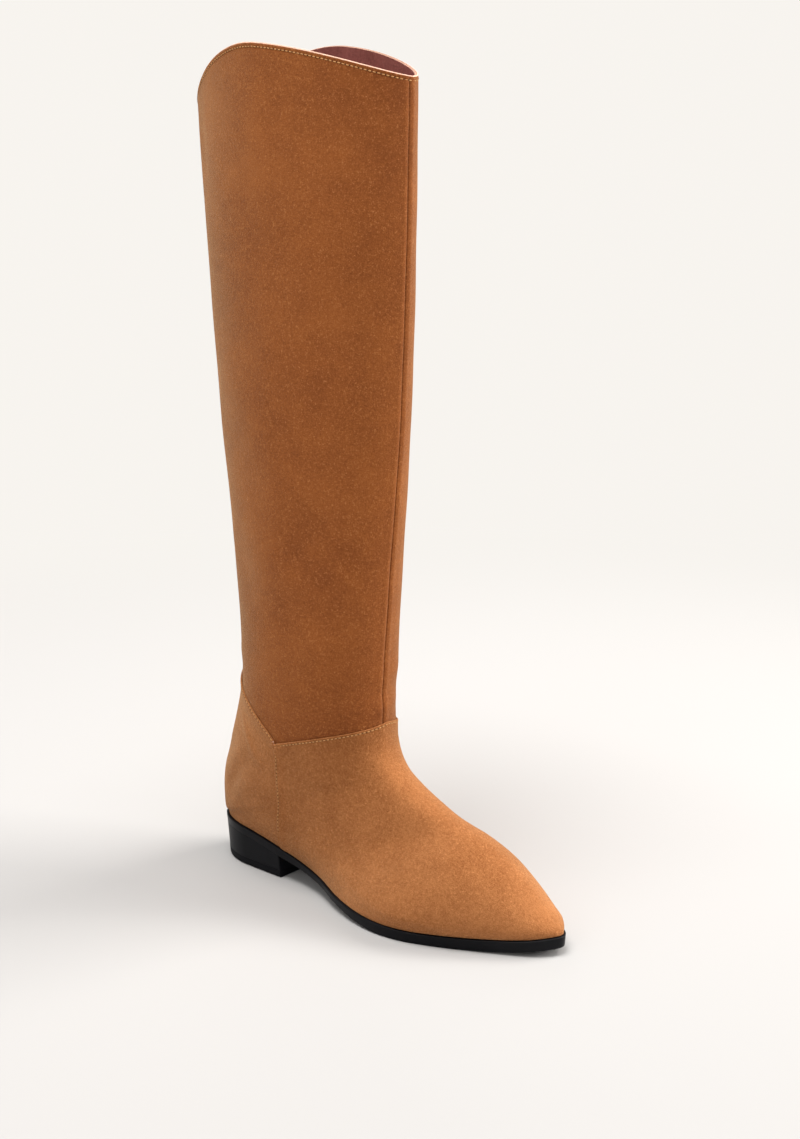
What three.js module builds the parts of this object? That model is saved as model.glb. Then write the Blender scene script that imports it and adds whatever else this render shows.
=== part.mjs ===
// Knee-high pull-on boot for the right foot, standing empty on its sole.
//
// Millimetres. +Z is up, +X runs from the heel to the toe and +Y points to the inner (big toe) side.
// The model is drawn from the back of the heel and then moved, so that the origin is the bottom
// centre of its bounding box.
//
// Foot and shaft are two hollow shells of one lasted surface. Sections cross that surface like the
// ribs of a fan: level down the shaft, tilting round the instep, upright at the toe.

import * as THREE from 'three';

// ---- Driving dimensions -------------------------------------------------------------------------

const FOOT_LENGTH = 266;        // feather line, heel to toe tip
const WALL = 2.2;               // suede with its lining
const GAP = 0.3;                // between neighbouring pieces
const SOLE_MARGIN = 1.6;        // sole beyond the feather line
const SOLE_TAPER = 0.5;         // drawn in at the underside
const HEEL_ROUND = 33;          // length of the rounded heel end
const TOE_ROUND = 13;           // length of the rounded toe end
const INSOLE_THICKNESS = 2.5;
const INSOLE_LENGTH = 240;
const INSOLE_MARGIN = -WALL - 1.5;
const TOP_PIECE_THICKNESS = 5;
const HEEL_LENGTH = 65;         // back of the feather line to the breast
const HEEL_MARGIN = 1.1;
const HEEL_TAPER = 1.2;         // drawn in at the top piece, each side
const TOP_PIECE_TAPER = 0.3;
const FLAT_START = 168;         // where the sole lies on the ground
const FLAT_END = 212;
const COLLAR = { front: 498, outerPeak: 519, innerPeak: 521.5, back: 486, peakTurn: 0.55 };
const SEAM = { front: 117, low: 107, back: 134, lowTurn: 0.52, rise: 0.6 };

// ---- Smooth tables ------------------------------------------------------------------------------

/** A smooth function through the rows of a table: column `value` against column `key`. */
function smooth(table, key, value) {
  const rows = [...table].sort((a, b) => a[key] - b[key]);
  const xs = rows.map((row) => row[key]);
  const ys = rows.map((row) => row[value]);
  const slope = (i) => (ys[i + 1] - ys[i]) / (xs[i + 1] - xs[i]);
  const tangents = xs.map((x, i) => {
    if (i === 0) return slope(0);
    if (i === xs.length - 1) return slope(i - 1);
    const before = xs[i] - xs[i - 1];
    const after = xs[i + 1] - xs[i];
    return (slope(i - 1) * after + slope(i) * before) / (before + after);
  });
  return (x) => {
    const at = THREE.MathUtils.clamp(x, xs[0], xs[xs.length - 1]);
    let i = 0;
    while (i < xs.length - 2 && at > xs[i + 1]) i += 1;
    const width = xs[i + 1] - xs[i];
    const t = (at - xs[i]) / width;
    const rise = t * t * (3 - 2 * t);
    const leave = t * (1 - t) * (1 - t) * width * tangents[i];
    const arrive = t * t * (t - 1) * width * tangents[i + 1];
    return ys[i] + (ys[i + 1] - ys[i]) * rise + leave + arrive;
  };
}

// ---- Feather line: where the upper meets the sole -------------------------------------------------

// Distance from the heel, height, and reach to the outer (lateral) and inner (medial) side.
const FEATHER = [
  { along: 0, height: 29, lateral: 23.5, medial: 23.5 },
  { along: 30, height: 27.5, lateral: 24, medial: 24.5 },
  { along: 62, height: 22, lateral: 24, medial: 24 },
  { along: 88, height: 16, lateral: 23.8, medial: 22.5 },
  { along: 105, height: 12.8, lateral: 27, medial: 23.5 },
  { along: 125, height: 10, lateral: 34.5, medial: 27 },
  { along: 145, height: 8.2, lateral: 40, medial: 32 },
  { along: 165, height: 7.2, lateral: 42, medial: 35.8 },
  { along: 185, height: 6.9, lateral: 39, medial: 37.5 },
  { along: 205, height: 7.1, lateral: 31, medial: 36.5 },
  { along: 225, height: 7.8, lateral: 21, medial: 32.5 },
  { along: 245, height: 9.3, lateral: 10.5, medial: 26 },
  { along: FOOT_LENGTH, height: 12.2, lateral: -2, medial: 17.2 },
];

const featherHeight = smooth(FEATHER, 'along', 'height');
const lateralReach = smooth(FEATHER, 'along', 'lateral');
const medialReach = smooth(FEATHER, 'along', 'medial');

/** Share of the full width left inside the rounded heel and toe ends. */
function endShare(along) {
  const heel = THREE.MathUtils.clamp((HEEL_ROUND - along) / HEEL_ROUND, 0, 1);
  const toe = THREE.MathUtils.clamp((along - FOOT_LENGTH + TOE_ROUND) / TOE_ROUND, 0, 1);
  return Math.sqrt(1 - heel * heel) * Math.sqrt(1 - toe * toe);
}

/** The feather line's y at a distance from the heel, on side -1 (outer) or +1 (inner). */
function featherSide(along, side) {
  const lateral = -lateralReach(along);
  const medial = medialReach(along);
  const middle = (lateral + medial) / 2;
  return middle + side * ((medial - lateral) / 2) * endShare(along);
}

// Height of the sole's underside, which lies flat on the ground under the forefoot.
const SOLE_BOTTOM = [
  { along: 0, height: 23 },
  { along: 30, height: 21.8 },
  { along: 62, height: 16 },
  { along: 95, height: 9.7 },
  { along: 125, height: 5 },
  { along: 150, height: 1.7 },
  { along: FLAT_START, height: 0 },
  { along: FLAT_END, height: 0 },
  { along: 230, height: 0.7 },
  { along: 248, height: 2.2 },
  { along: FOOT_LENGTH, height: 4.8 },
];
const soleBottomCurve = smooth(SOLE_BOTTOM, 'along', 'height');

/** The sole's underside at a distance from the heel. */
function soleBottom(along) {
  if (along > FLAT_START && along < FLAT_END) return 0;
  return Math.max(soleBottomCurve(along), 0);
}

// ---- Sections across the lasted surface ---------------------------------------------------------

// `station` falls from the collar, where it is the height on the shaft, to 0 at the toe tip. A
// section spans the line from its back or bottom point to its front or top point, and is widest
// (`lateral`, `medial`) at the share `belly` of that line. `low` and `high` shape the curve below
// and above there: 2 is an ellipse, less is a ridge, more is fuller. `ridge` is the top's y.
const SECTIONS = [
  { station: 530, backX: -18, backZ: 530, frontX: 158.5, frontZ: 530, lateral: 38.5, medial: 38.5,
    belly: 0.5, low: 1.7, high: 1.7, ridge: 0 },
  { station: 400, backX: -8, backZ: 400, frontX: 156, frontZ: 400, lateral: 39.5, medial: 39.5,
    belly: 0.5, low: 1.75, high: 1.75, ridge: 0 },
  { station: 300, backX: 2, backZ: 300, frontX: 151.5, frontZ: 300, lateral: 39, medial: 39,
    belly: 0.5, low: 1.8, high: 1.8, ridge: 0 },
  { station: 200, backX: 15, backZ: 200, frontX: 142.5, frontZ: 200, lateral: 38, medial: 38,
    belly: 0.5, low: 1.9, high: 1.9, ridge: 0 },
  { station: 150, backX: 19.8, backZ: 150, frontX: 138.5, frontZ: 150, lateral: 37, medial: 37,
    belly: 0.48, low: 2, high: 2, ridge: 0 },
  { station: 122, backX: 19.5, backZ: 122, frontX: 137.2, frontZ: 122, lateral: 36, medial: 36,
    belly: 0.46, low: 2.1, high: 2, ridge: 0 },
  { station: 112, backX: 14.5, backZ: 100, frontX: 137.6, frontZ: 112, lateral: 35.3, medial: 35.2,
    belly: 0.45, low: 2.2, high: 2.1, ridge: 0.5 },
  { station: 104, backX: 8.2, backZ: 80, frontX: 139, frontZ: 103, lateral: 34.4, medial: 34.2,
    belly: 0.43, low: 2.3, high: 2.25, ridge: 1 },
  { station: 96, backX: 2.2, backZ: 60, frontX: 141.3, frontZ: 95.5, lateral: 33, medial: 32.8,
    belly: 0.41, low: 2.4, high: 2.35, ridge: 1.5 },
  { station: 90, backX: 0.2, backZ: 43, frontX: 144.5, frontZ: 89.3, lateral: 31.8, medial: 31.6,
    belly: 0.4, low: 2.4, high: 2.35, ridge: 2 },
  { station: 85, backX: 0, backZ: 29, frontX: 148.8, frontZ: 84.2, lateral: 30.2, medial: 30,
    belly: 0.39, low: 2.3, high: 2.35, ridge: 2.5 },
];

// The rest of the sections stand on the feather line, at `along`.
const FOOT_SECTIONS = [
  { station: 81, along: 5, frontX: 152.8, frontZ: 81, lateral: 29.6, medial: 29.4,
    belly: 0.38, low: 2.2, high: 2.35, ridge: 2.8 },
  { station: 76, along: 18, frontX: 158.8, frontZ: 77.8, lateral: 29, medial: 28.8,
    belly: 0.36, low: 2.2, high: 2.3, ridge: 3 },
  { station: 69, along: 42, frontX: 168.5, frontZ: 73.3, lateral: 28.4, medial: 27.8,
    belly: 0.33, low: 2.2, high: 2.25, ridge: 3.5 },
  { station: 62, along: 68, frontX: 178.5, frontZ: 69, lateral: 28.6, medial: 27,
    belly: 0.3, low: 2.2, high: 2.2, ridge: 4 },
  { station: 55, along: 94, frontX: 188, frontZ: 65.2, lateral: 30, medial: 26.8,
    belly: 0.27, low: 2.2, high: 2.1, ridge: 4.5 },
  { station: 48, along: 120, frontX: 197.5, frontZ: 61.8, lateral: 35.6, medial: 29.3,
    belly: 0.23, low: 2.2, high: 2, ridge: 5 },
  { station: 41, along: 146, frontX: 208, frontZ: 58, lateral: 41.5, medial: 34,
    belly: 0.2, low: 2.2, high: 1.9, ridge: 5.5 },
  { station: 34, along: 172, frontX: 219, frontZ: 52.8, lateral: 43, medial: 38.1,
    belly: 0.18, low: 2.2, high: 1.85, ridge: 6 },
  { station: 27, along: 198, frontX: 230.5, frontZ: 45.5, lateral: 35.6, medial: 38.9,
    belly: 0.18, low: 2.2, high: 1.8, ridge: 7 },
  { station: 20, along: 221, frontX: 242.5, frontZ: 36.5, lateral: 24.4, medial: 34.4,
    belly: 0.2, low: 2.2, high: 1.8, ridge: 8 },
  { station: 13, along: 242, frontX: 253.2, frontZ: 26.6, lateral: 13, medial: 27.4,
    belly: 0.24, low: 2.1, high: 1.9, ridge: 9 },
  { station: 7, along: 255.5, frontX: 260.6, frontZ: 20.8, lateral: 4.9, medial: 22,
    belly: 0.28, low: 2, high: 2, ridge: 9.4 },
  { station: 2, along: 264, frontX: 265, frontZ: 15.8, lateral: -0.6, medial: 18.2,
    belly: 0.3, low: 2, high: 2, ridge: 9.6 },
  { station: 0, along: FOOT_LENGTH, frontX: FOOT_LENGTH, frontZ: 13.8, lateral: -2, medial: 17.2,
    belly: 0.3, low: 2, high: 2, ridge: 9.6 },
].map((row) => ({ ...row, backX: row.along, backZ: featherHeight(row.along) }));

const SEAT_STATION = 85;        // below this a section stands on the feather line
const LOW_TURNS = 0.12;         // least share of the turns spent below the belly
const SMALL_ANGLE = 0.01;
const sections = [...SECTIONS, ...FOOT_SECTIONS];
const COLUMNS = ['backX', 'backZ', 'frontX', 'frontZ', 'lateral', 'medial', 'belly', 'low', 'high', 'ridge'];
const columnAt = Object.fromEntries(COLUMNS.map((name) => [name, smooth(sections, 'station', name)]));

/** All columns of the section at a station. */
function sectionAt(station) {
  const row = Object.fromEntries(COLUMNS.map((name) => [name, columnAt[name](station)]));
  row.onFeather = station < SEAT_STATION;
  if (row.onFeather) row.backZ = featherHeight(row.backX);
  return row;
}

/**
 * A point of the outer surface. `turn` is -1 at the outer side's back or bottom end of the section,
 * 0 at its front or top, and +1 at the inner side's back or bottom end.
 */
function lastPoint(station, turn) {
  const row = sectionAt(station);
  const side = turn < 0 ? -1 : 1;
  const toeShare = row.onFeather ? endShare(Math.max(row.backX, HEEL_ROUND)) : 1;
  const middle = (row.medial - row.lateral) / 2;
  const half = side * ((row.medial + row.lateral) / 2) * toeShare;
  const lowTurns = LOW_TURNS + (1 - 2 * LOW_TURNS) * row.belly;
  const share = Math.abs(turn) / (1 - lowTurns);
  let up;
  let y;
  if (share <= 1) {
    const angle = (1 - share) * Math.PI / 2;
    const rise = Math.sin(angle) ** (2 / row.high);
    up = row.belly + (1 - row.belly) * rise;
    y = THREE.MathUtils.lerp(middle, row.ridge, rise) + half * Math.cos(angle) ** (2 / row.high);
  } else {
    // The same curve goes on down and stops where it has drawn in to the feather line.
    const drop = (Math.abs(turn) - 1 + lowTurns) / lowTurns;
    const foot = row.onFeather ? featherSide(row.backX, side) - middle : 0;
    const footShare = THREE.MathUtils.clamp(half === 0 ? 1 : foot / half, 0, 1);
    const edge = Math.acos(footShare ** (row.low / 2));
    const fall = edge > SMALL_ANGLE ? Math.sin(drop * edge) / Math.sin(edge) : drop;
    up = row.belly * (1 - fall ** (2 / row.low));
    y = middle + half * Math.max(Math.cos(drop * edge), 0) ** (2 / row.low);
  }
  const x = THREE.MathUtils.lerp(row.backX, row.frontX, up);
  const z = THREE.MathUtils.lerp(row.backZ, row.frontZ, up);
  return new THREE.Vector3(x, y, z);
}

/** The collar's station: highest at both sides, lower at the front and lowest at the back. */
function collarStation(turn) {
  const back = Math.abs(turn);
  const behind = back > COLLAR.peakTurn;
  const toPeak = behind ? (1 - back) / (1 - COLLAR.peakTurn) : back / COLLAR.peakTurn;
  const rise = Math.sin(toPeak * Math.PI / 2) ** 2;
  const peak = turn < 0 ? COLLAR.outerPeak : COLLAR.innerPeak;
  return THREE.MathUtils.lerp(behind ? COLLAR.back : COLLAR.front, peak, rise);
}

/** The ankle seam's station: down from the front to a low point at the side, then up to the back. */
function seamStation(turn) {
  const back = Math.abs(turn);
  if (back < SEAM.lowTurn) return THREE.MathUtils.lerp(SEAM.front, SEAM.low, back / SEAM.lowTurn);
  const toBack = (back - SEAM.lowTurn) / (1 - SEAM.lowTurn);
  return THREE.MathUtils.lerp(SEAM.low, SEAM.back, toBack ** SEAM.rise);
}

// ---- Solids -------------------------------------------------------------------------------------

/** Collects the triangles of a closed body, sharing vertices that coincide. */
class Body {
  constructor() {
    this.positions = [];
    this.index = [];
    this.known = new Map();
  }

  vertex(point) {
    const key = point.toArray().map((value) => Math.round(value * 1000)).join(',');
    if (!this.known.has(key)) {
      this.known.set(key, this.positions.length / 3);
      this.positions.push(point.x, point.y, point.z);
    }
    return this.known.get(key);
  }

  triangle(a, b, c) {
    const corners = [a, b, c].map((point) => this.vertex(point));
    if (new Set(corners).size === 3) this.index.push(...corners);
  }

  quad(a, b, c, d) {
    this.triangle(a, b, c);
    this.triangle(a, c, d);
  }

  /** The skin over a grid of points, rows of equal length. */
  skin(grid, flipped = false) {
    for (let i = 0; i + 1 < grid.length; i += 1) {
      for (let j = 0; j + 1 < grid[i].length; j += 1) {
        const corners = [grid[i][j], grid[i + 1][j], grid[i + 1][j + 1], grid[i][j + 1]];
        this.quad(...(flipped ? corners.reverse() : corners));
      }
    }
  }

  geometry() {
    const geometry = new THREE.BufferGeometry();
    geometry.setAttribute('position', new THREE.Float32BufferAttribute(this.positions, 3));
    geometry.setIndex(this.index);
    geometry.computeVertexNormals();
    return geometry;
  }
}

/** Outward normals over a grid whose closed rows join their first point to their last. */
function gridNormals(grid, isClosed) {
  const count = grid[0].length - 1;
  return grid.map((row, i) => row.map((_, j) => {
    const closed = isClosed[i];
    const before = closed && j === 0 ? count - 1 : Math.max(j - 1, 0);
    const after = closed && j === count ? 1 : Math.min(j + 1, count);
    const across = new THREE.Vector3().subVectors(row[after], row[before]);
    const up = grid[Math.max(i - 1, 0)][j];
    const down = grid[Math.min(i + 1, grid.length - 1)][j];
    return new THREE.Vector3().subVectors(down, up).cross(across).normalize();
  }));
}

/** The inner face of a shell: the grid moved in by the wall, level along the feather line. */
function innerGrid(grid, isClosed) {
  const normals = gridNormals(grid, isClosed);
  const last = grid[0].length - 1;
  return grid.map((row, i) => row.map((point, j) => {
    const normal = normals[i][j].clone();
    const onEdge = (j === 0 || j === last) && !isClosed[i];
    if (onEdge) normal.setZ(0).normalize();
    return point.clone().addScaledVector(normal, -WALL);
  }));
}

const TURNS = 40;               // points round a section
const SHAFT_ROWS = 14;
const turnAt = (j) => -1 + 2 * j / TURNS;
const turnList = Array.from({ length: TURNS + 1 }, (_, j) => turnAt(j));

/** The strip between two rows of points. */
function rim(body, rowA, rowB) {
  for (let j = 0; j + 1 < rowA.length; j += 1) body.quad(rowA[j], rowA[j + 1], rowB[j + 1], rowB[j]);
}

/** The shaft: a tube from the collar down to the ankle seam. */
function shaftGeometry() {
  const grid = Array.from({ length: SHAFT_ROWS + 1 }, (_, i) => turnList.map((turn) => {
    const end = seamStation(turn) + GAP;
    return lastPoint(THREE.MathUtils.lerp(collarStation(turn), end, i / SHAFT_ROWS), turn);
  }));
  const inner = innerGrid(grid, grid.map(() => true));
  const body = new Body();
  body.skin(grid);
  body.skin(inner, true);
  rim(body, grid[0], inner[0]);
  rim(body, inner[SHAFT_ROWS], grid[SHAFT_ROWS]);
  return body.geometry();
}

// Open rows of the foot: even steps of station, closer together at the back of the heel and the toe.
const SEAM_ROWS = 7;
const FOOT_ROWS = 27;
const SOLID_TOE = 3;            // last rows that have no hollow
const CROWDING = 0.6;           // how much closer together the end rows lie

/** The foot: open at the ankle seam and, from the back of the seat to the toe, underneath. */
function upperGeometry() {
  const seamRows = Array.from({ length: SEAM_ROWS }, (_, i) => turnList.map((turn) => (
    lastPoint(THREE.MathUtils.lerp(seamStation(turn), SEAT_STATION, i / SEAM_ROWS), turn))));
  const footRows = Array.from({ length: FOOT_ROWS + 1 }, (_, i) => {
    const share = i / FOOT_ROWS;
    const eased = (1 - Math.cos(share * Math.PI)) / 2;
    const station = SEAT_STATION * (1 - THREE.MathUtils.lerp(share, eased, CROWDING));
    return turnList.map((turn) => lastPoint(station, turn));
  });
  const grid = [...seamRows, ...footRows];
  const isClosed = grid.map((_, i) => i <= SEAM_ROWS);
  const hollow = grid.length - SOLID_TOE;
  const inner = innerGrid(grid, isClosed).slice(0, hollow);
  const body = new Body();
  body.skin(grid);
  body.skin(inner, true);
  rim(body, grid[0], inner[0]);

  const lateral = (rows) => rows.map((row) => row[0]);
  const medial = (rows) => rows.map((row) => row[TURNS]);
  const open = grid.slice(SEAM_ROWS, hollow);
  const openInner = inner.slice(SEAM_ROWS);
  rim(body, lateral(openInner), lateral(open));
  rim(body, medial(open), medial(openInner));

  // The toe is solid past the last hollow row: its back wall, then its flat underside.
  const wall = inner[hollow - 1];
  const centre = new THREE.Vector3().addVectors(wall[0], wall[TURNS]).multiplyScalar(0.5);
  for (let j = 0; j < TURNS; j += 1) body.triangle(centre, wall[j], wall[j + 1]);
  const toe = grid.slice(hollow - 1);
  const outline = [wall[0], ...lateral(toe), ...medial(toe).reverse(), wall[TURNS]];
  for (let j = 0; j + 1 < outline.length; j += 1) body.triangle(centre, outline[j + 1], outline[j]);
  return body.geometry();
}

const EDGE_STEP = 0.01;         // for the feather line's direction
const INSOLE_POINTS = 32;
const OUTSOLE_POINTS = 60;
const HEEL_POINTS = 24;

/** Points on one side of the feather line, moved out by `margin` and closer together at the ends. */
function edgeLine(side, margin, to, count) {
  return Array.from({ length: count + 1 }, (_, i) => {
    const along = to * (1 - Math.cos(i / count * Math.PI)) / 2;
    const rise = featherSide(along + EDGE_STEP, side) - featherSide(along - EDGE_STEP, side);
    const normal = new THREE.Vector2(-rise, 2 * EDGE_STEP).normalize().multiplyScalar(side);
    if (along === 0) normal.set(-1, 0);
    if (along === FOOT_LENGTH) normal.set(1, 0);
    return { along, x: along + normal.x * margin, y: featherSide(along, side) + normal.y * margin };
  });
}

/**
 * A flat-sided layer under the foot. `top` and `bottom` give its heights along the foot, `margin` its
 * reach past the feather line and `taper` how much of that it loses at the bottom.
 */
function layerGeometry({ to = FOOT_LENGTH, count, margin, taper = 0, top, bottom }) {
  const corner = (side, level, inset) => edgeLine(side, margin - inset, to, count)
    .map(({ along, x, y }) => new THREE.Vector3(x, y, level(along)));
  const loops = [
    corner(-1, top, 0),
    corner(1, top, 0),
    corner(1, bottom, taper),
    corner(-1, bottom, taper),
  ];
  const body = new Body();
  loops.forEach((line, i) => rim(body, line, loops[(i + 1) % loops.length]));
  body.quad(...loops.map((line) => line[0]));
  body.quad(...loops.map((line) => line[count]).reverse());
  return body.geometry();
}

const SUEDE = { color: 0xa8683a, roughness: 0.95, metalness: 0 };
const BLACK = { color: 0x17171a, roughness: 0.55, metalness: 0 };
const LINING = { color: 0x6d3a35, roughness: 0.8, metalness: 0 };

const PIECES = [
  { name: 'shaft', look: SUEDE, geometry: shaftGeometry() },
  { name: 'upper', look: SUEDE, geometry: upperGeometry() },
  {
    name: 'insole',
    look: LINING,
    geometry: layerGeometry({
      to: INSOLE_LENGTH,
      count: INSOLE_POINTS,
      margin: INSOLE_MARGIN,
      top: (along) => featherHeight(along) + INSOLE_THICKNESS,
      bottom: featherHeight,
    }),
  },
  {
    name: 'outsole',
    look: BLACK,
    geometry: layerGeometry({
      count: OUTSOLE_POINTS,
      margin: SOLE_MARGIN,
      taper: SOLE_TAPER,
      top: (along) => featherHeight(along) - GAP,
      bottom: soleBottom,
    }),
  },
  {
    name: 'heel',
    look: BLACK,
    geometry: layerGeometry({
      to: HEEL_LENGTH,
      count: HEEL_POINTS,
      margin: HEEL_MARGIN,
      taper: HEEL_TAPER,
      top: (along) => soleBottom(along) - GAP,
      bottom: () => TOP_PIECE_THICKNESS + GAP,
    }),
  },
  {
    name: 'top_piece',
    look: BLACK,
    geometry: layerGeometry({
      to: HEEL_LENGTH,
      count: HEEL_POINTS,
      margin: HEEL_MARGIN - HEEL_TAPER,
      taper: TOP_PIECE_TAPER,
      top: () => TOP_PIECE_THICKNESS,
      bottom: () => 0,
    }),
  },
];

const boot = new THREE.Group();
boot.name = 'knee_high_boot';
PIECES.forEach(({ name, look, geometry }) => {
  const mesh = new THREE.Mesh(geometry, new THREE.MeshStandardMaterial(look));
  mesh.name = name;
  boot.add(mesh);
});

const box = new THREE.Box3().setFromObject(boot);
const middle = box.getCenter(new THREE.Vector3());
boot.position.set(-middle.x, -middle.y, -box.min.z);

export default boot;
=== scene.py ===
"""Knee-high pull-on suede boot for the right foot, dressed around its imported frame.

Sizes are in millimetres on the boot, measured from the back of the heel, and become metres in the
frame only in `Last.placed`. A place on the upper is a pair: its station, which is the height on the
shaft and falls to 0 at the toe tip, and its turn, which runs from -1 at the back or bottom of the
outer side, over 0 at the front or top, to +1 at the back or bottom of the inner side.
"""

import logging
import math
from dataclasses import dataclass, field, replace
from enum import Enum
from typing import Callable

import bmesh
import bpy
import numpy as np
from bmesh.types import BMesh
from bpy.types import Material, Node, NodeSocket, Object
from mathutils import Matrix, Vector


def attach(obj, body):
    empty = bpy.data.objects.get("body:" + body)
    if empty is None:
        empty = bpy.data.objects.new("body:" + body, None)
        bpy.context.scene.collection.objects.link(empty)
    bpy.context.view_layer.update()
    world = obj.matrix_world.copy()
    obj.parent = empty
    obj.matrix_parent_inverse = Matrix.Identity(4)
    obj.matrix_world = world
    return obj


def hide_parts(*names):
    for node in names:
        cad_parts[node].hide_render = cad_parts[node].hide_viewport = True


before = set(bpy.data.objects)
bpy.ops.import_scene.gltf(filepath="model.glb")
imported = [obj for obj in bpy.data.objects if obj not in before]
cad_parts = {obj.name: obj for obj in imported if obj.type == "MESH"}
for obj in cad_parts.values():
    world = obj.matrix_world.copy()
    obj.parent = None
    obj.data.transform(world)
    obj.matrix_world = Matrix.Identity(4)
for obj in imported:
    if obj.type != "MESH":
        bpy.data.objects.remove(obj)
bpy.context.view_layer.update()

LOG = logging.getLogger("knee_high_boot")
MM = 0.001
BODY = "root"
Array = np.ndarray
Line = Callable[[Array], Array]
Colour = tuple[float, float, float]

FOOT_LENGTH = 266.0
SOLE_MARGIN = 1.6
HEEL_ROUND = 33.0
TOE_ROUND = 13.0
SEAT_STATION = 85.0
LOW_TURNS = 0.12
COUNTER_TOP = 73.0
COUNTER_FOOT = 66.5
COUNTER_END = 61.5
FRONT_SEAM = -0.03
FLAT_START = 168.0
FLAT_END = 212.0
HALVINGS = 26
TURN_STEP = 0.006
STATION_STEP = 0.5
SEARCH_FROM = 0.2
SMALL_ANGLE = 0.01
TINY = 1e-6
HAIR = 1e-9
SHARP_ANGLE = math.radians(42)
TOUCH = 0.01 * MM
WELD = 0.05 * MM
FINE_WELD = 0.02 * MM
LOFT_WELD = 0.004 * MM
SLIVER = 0.002 * MM


# ---- The last ----


@dataclass(frozen=True)
class FeatherRow:
    """A place along the feather line: its height and its reach to either side."""

    along: float
    height: float
    lateral: float
    medial: float


@dataclass(frozen=True)
class SectionRow:
    """A section across the lasted surface, from its back or bottom to its front or top.

    The height of its back is None where the section stands on the feather line.
    """

    station: float
    back_x: float
    back_z: float | None
    front_x: float
    front_z: float
    lateral: float
    medial: float
    belly: float
    low: float
    high: float
    ridge: float


@dataclass(frozen=True)
class Crease:
    """A soft fold: a trough where the depth is negative, a ridge where it isn't."""

    path: tuple[tuple[float, float], ...]
    width: float
    depth: float


FEATHER = tuple(FeatherRow(*row) for row in (
    (0, 29, 23.5, 23.5),
    (30, 27.5, 24, 24.5),
    (62, 22, 24, 24),
    (88, 16, 23.8, 22.5),
    (105, 12.8, 27, 23.5),
    (125, 10, 34.5, 27),
    (145, 8.2, 40, 32),
    (165, 7.2, 42, 35.8),
    (185, 6.9, 39, 37.5),
    (205, 7.1, 31, 36.5),
    (225, 7.8, 21, 32.5),
    (245, 9.3, 10.5, 26),
    (FOOT_LENGTH, 12.2, -2, 17.2),
))

SECTIONS = tuple(SectionRow(*row) for row in (
    (530, -18, 530, 158.5, 530, 38.5, 38.5, 0.5, 1.7, 1.7, 0),
    (400, -8, 400, 156, 400, 39.5, 39.5, 0.5, 1.75, 1.75, 0),
    (300, 2, 300, 151.5, 300, 39, 39, 0.5, 1.8, 1.8, 0),
    (200, 15, 200, 142.5, 200, 38, 38, 0.5, 1.9, 1.9, 0),
    (150, 19.8, 150, 138.5, 150, 37, 37, 0.48, 2, 2, 0),
    (122, 19.5, 122, 137.2, 122, 36, 36, 0.46, 2.1, 2, 0),
    (112, 14.5, 100, 137.6, 112, 35.3, 35.2, 0.45, 2.2, 2.1, 0.5),
    (104, 8.2, 80, 139, 103, 34.4, 34.2, 0.43, 2.3, 2.25, 1),
    (96, 2.2, 60, 141.3, 95.5, 33, 32.8, 0.41, 2.4, 2.35, 1.5),
    (90, 0.2, 43, 144.5, 89.3, 31.8, 31.6, 0.4, 2.4, 2.35, 2),
    (SEAT_STATION, 0, 29, 148.8, 84.2, 30.2, 30, 0.39, 2.3, 2.35, 2.5),
    (81, 5, None, 152.8, 81, 29.6, 29.4, 0.38, 2.2, 2.35, 2.8),
    (76, 18, None, 158.8, 77.8, 29, 28.8, 0.36, 2.2, 2.3, 3),
    (69, 42, None, 168.5, 73.3, 28.4, 27.8, 0.33, 2.2, 2.25, 3.5),
    (62, 68, None, 178.5, 69, 28.6, 27, 0.3, 2.2, 2.2, 4),
    (55, 94, None, 188, 65.2, 30, 26.8, 0.27, 2.2, 2.1, 4.5),
    (48, 120, None, 197.5, 61.8, 35.6, 29.3, 0.23, 2.2, 2, 5),
    (41, 146, None, 208, 58, 41.5, 34, 0.2, 2.2, 1.9, 5.5),
    (34, 172, None, 219, 52.8, 43, 38.1, 0.18, 2.2, 1.85, 6),
    (27, 198, None, 230.5, 45.5, 35.6, 38.9, 0.18, 2.2, 1.8, 7),
    (20, 221, None, 242.5, 36.5, 24.4, 34.4, 0.2, 2.2, 1.8, 8),
    (13, 242, None, 253.2, 26.6, 13, 27.4, 0.24, 2.1, 1.9, 9),
    (7, 255.5, None, 260.6, 20.8, 4.9, 22, 0.28, 2, 2, 9.4),
    (2, 264, None, 265, 15.8, -0.6, 18.2, 0.3, 2, 2, 9.6),
    (0, FOOT_LENGTH, None, FOOT_LENGTH, 13.8, -2, 17.2, 0.3, 2, 2, 9.6),
))

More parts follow.
